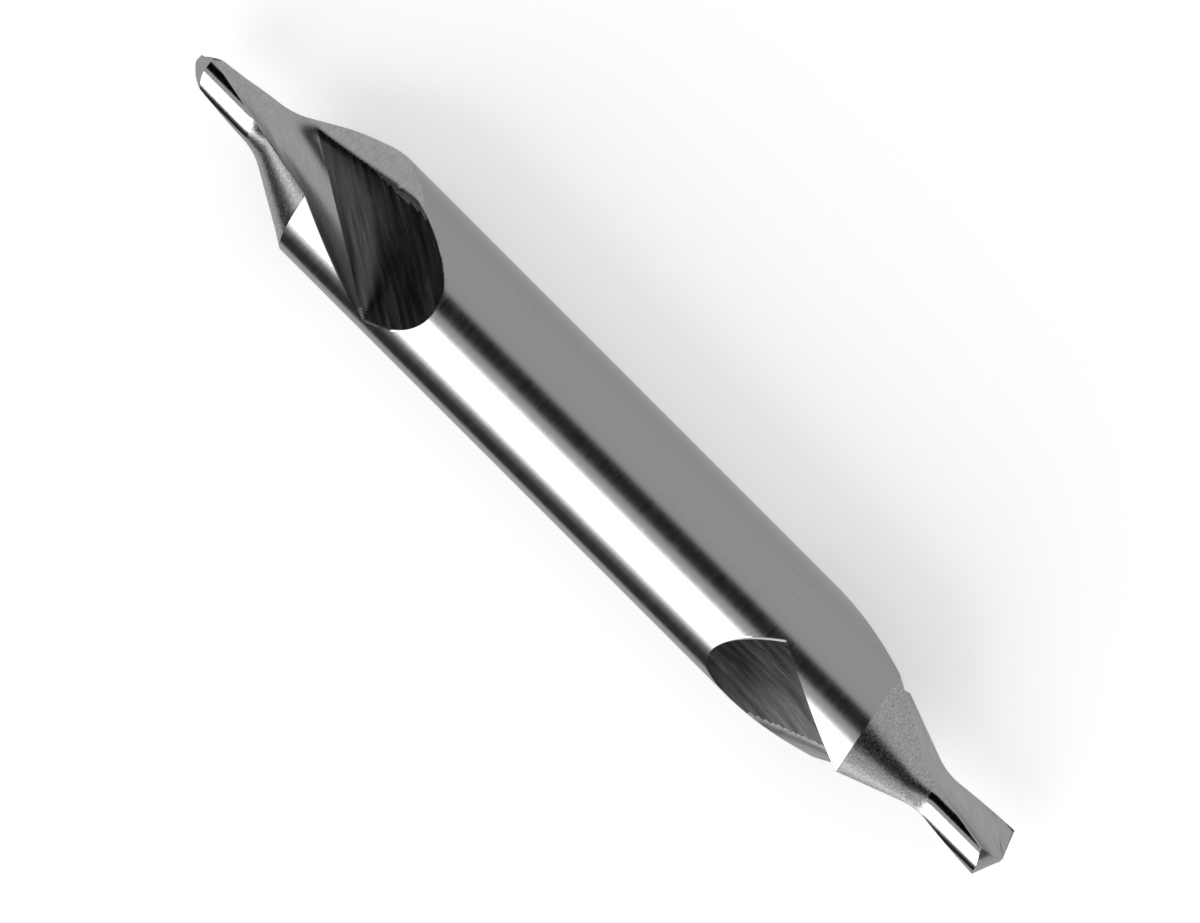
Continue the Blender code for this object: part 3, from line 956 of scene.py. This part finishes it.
def sheet(name, grid, colour):
    """A sheet of plain diffuse colour through a grid of points."""
    index = np.arange(grid[..., 0].size).reshape(grid.shape[:2])
    mesh = bpy.data.meshes.new(name)
    mesh.from_pydata(grid.reshape(-1, 3).tolist(), [], cells(index).tolist())
    made = bpy.data.objects.new(name, mesh)
    bpy.context.scene.collection.objects.link(made)
    paint = bpy.data.materials.new(name)
    paint.use_nodes = True
    shader = paint.node_tree.nodes["Principled BSDF"]
    shader.inputs["Base Color"].default_value = linear(colour)
    shader.inputs["Roughness"].default_value = CARD_ROUGHNESS
    shader.inputs["Specular IOR Level"].default_value = 0
    mesh.materials.append(paint)
    return made


def even_card(name, grid, colour):
    """A card that glows evenly with its colour, so that no shadow shows on it."""
    made = sheet(name, grid, NO_PAINT)
    shader = made.data.materials[0].node_tree.nodes["Principled BSDF"]
    shader.inputs["Emission Color"].default_value = linear(colour)
    shader.inputs["Emission Strength"].default_value = 1
    return made


def level_grid(x_range, y_range, height):
    """The four corners of a level rectangle, in metres."""
    x, y = np.meshgrid(x_range, y_range)
    return np.stack([x, y, np.full(x.shape, height)], axis=-1)


def dome_grid(over, aside, radius):
    """Part of a dome, in degrees: from the far end over the top to the near end, and to the sides."""
    over, aside = np.linspace(*over, DOME_STEPS[0]) * DEG, np.linspace(*aside, DOME_STEPS[1]) * DEG
    over, aside = np.meshgrid(over, aside)
    x, y, z = np.cos(aside) * np.cos(over), np.sin(aside), np.cos(aside) * np.sin(over)
    return radius * np.stack([x, y, z], axis=-1)


def only_in_reflections(made):
    """Keeps a card out of the picture and out of the light."""
    made.visible_camera = made.visible_diffuse = made.visible_shadow = made.visible_transmission = False


# %% [markdown]
# The floor is pale and keeps the drill's shadow. It also glows a little, but only for the camera, for
# reflections and for what is seen through, so the background turns white without more light on the drill.

# %% The floor
FLOOR_SIZE = 3.0
FLOOR_GLOW = 0.36
FLOOR_PAINT = "#F7F7F7"
half_floor = FLOOR_SIZE / 2
across = (-half_floor, half_floor)
floor = sheet("studio_floor", level_grid(across, across, -SHANK_RADIUS), FLOOR_PAINT)
tree = floor.data.materials[0].node_tree
path = add(tree, "ShaderNodeLightPath")
seen = add(tree, "ShaderNodeMath", {"operation": "ADD"})
tree.links.new(path.outputs["Is Camera Ray"], seen.inputs[0])
tree.links.new(path.outputs["Is Glossy Ray"], seen.inputs[1])
seen_through = add(tree, "ShaderNodeMath", {"operation": "ADD", "use_clamp": True})
tree.links.new(seen.outputs[0], seen_through.inputs[0])
tree.links.new(path.outputs["Is Transmission Ray"], seen_through.inputs[1])
glow = add(tree, "ShaderNodeMath", {"operation": "MULTIPLY"})
tree.links.new(seen_through.outputs[0], glow.inputs[0])
glow.inputs[1].default_value = FLOOR_GLOW
shader = tree.nodes["Principled BSDF"]
shader.inputs["Emission Color"].default_value = (1, 1, 1, 1)
tree.links.new(glow.outputs[0], shader.inputs["Emission Strength"])
print("floor glow:", FLOOR_GLOW)

# %% [markdown]
# Two dark cards on a dome draw the black bands. On the floor, from the lamps' side to the far side, lie a
# dim, a dark and two grey cards. Each starts where the one before it ends.

# %% The cards
BLACK, DARK, DIM, GREY = "#080808", "#303030", "#686868", "#BCBCBC"
CARD_LIFT = 0.02 * MM
DIM_START, DARK_START, GREY_START, FAR_GREY_START, FAR_GREY_END = -0.085, -0.019, -0.007, 0.03, 1.0
card_height = CARD_LIFT - SHANK_RADIUS
grey_area = level_grid(x_range=(-0.06, 0.06), y_range=(GREY_START, FAR_GREY_START), height=card_height)
far_grey_area = level_grid(x_range=(-0.4, 0.4), y_range=(FAR_GREY_START, FAR_GREY_END), height=card_height)
dark_area = level_grid(x_range=(-0.08, 0.1), y_range=(DARK_START, GREY_START), height=card_height)
dim_area = level_grid(x_range=(-0.09, 0.11), y_range=(DIM_START, DARK_START), height=card_height)
overhead_area = dome_grid(over=(-2, 160), aside=(-16.5, 12.5), radius=0.45)
side_area = dome_grid(over=(118, 164), aside=(-52, -13), radius=0.44)
cards = [
    sheet("overhead_dark_card", overhead_area, BLACK),
    sheet("side_dark_card", side_area, BLACK),
    even_card("grey_floor_card", grey_area, GREY),
    even_card("far_grey_floor_card", far_grey_area, GREY),
    sheet("dark_floor_card", dark_area, DARK),
    sheet("dim_floor_card", dim_area, DIM),
]
for card in cards:
    only_in_reflections(card)
print("cards that only reflections see:", ", ".join(card.name for card in cards))

# %% [markdown]
# The world is an even grey. A wide soft lamp at one side draws the white strip along the shank, and a
# long, low one on the same side shows in the faces that lean toward it.

# %% World and lamps
WORLD_GREY = "#C0C0C0"
world = bpy.data.worlds.new("grey_studio")
bpy.context.scene.world = world
world.use_nodes = True
world.node_tree.nodes["Background"].inputs["Color"].default_value = linear(WORLD_GREY)


def soft_lamp(name, size, place, tilt, power):
    """A rectangular area lamp, tilted from straight down toward +Y. Sizes are in metres, power in watts."""
    lamp = bpy.data.lights.new(name, "AREA")
    lamp.shape = "RECTANGLE"
    lamp.size, lamp.size_y = size
    lamp.energy = power
    made = bpy.data.objects.new(name, lamp)
    made.location = place
    made.rotation_euler = (tilt, 0, 0)
    bpy.context.scene.collection.objects.link(made)
    print(f"{name}: {power} W")


soft_lamp("softbox", size=(0.36, 0.52), place=(0, -0.459, 0.272), tilt=61 * DEG, power=1.4)
soft_lamp("low_strip", size=(2.2, 0.12), place=(0, -0.62, 0.112), tilt=84 * DEG, power=0.9)

# %% [markdown]
# ## The camera
#
# The photo looks straight down, with the drill lying across the picture's diagonal. A long lens from
# 0.6 m keeps the two ends the same size.

# %% The camera
CAMERA_HEIGHT = 0.6
VIEW_WIDTH = 48.54 * MM
SENSOR_WIDTH = 36
NEAR_CLIP = 0.01
CAMERA_SHIFT = 0.072 * MM
CAMERA_TURN = 45 * DEG
camera = bpy.data.cameras.new("camera")
camera.sensor_width = SENSOR_WIDTH
camera.lens = SENSOR_WIDTH * CAMERA_HEIGHT / VIEW_WIDTH
camera.clip_start = NEAR_CLIP
camera_object = bpy.data.objects.new("camera", camera)
camera_object.location = (CAMERA_SHIFT, -CAMERA_SHIFT, CAMERA_HEIGHT)
camera_object.rotation_euler = (0, 0, CAMERA_TURN)
bpy.context.scene.collection.objects.link(camera_object)
bpy.context.scene.camera = camera_object
bpy.context.scene.view_settings.view_transform = "Standard"
print(f"lens: {camera.lens:.0f} mm")
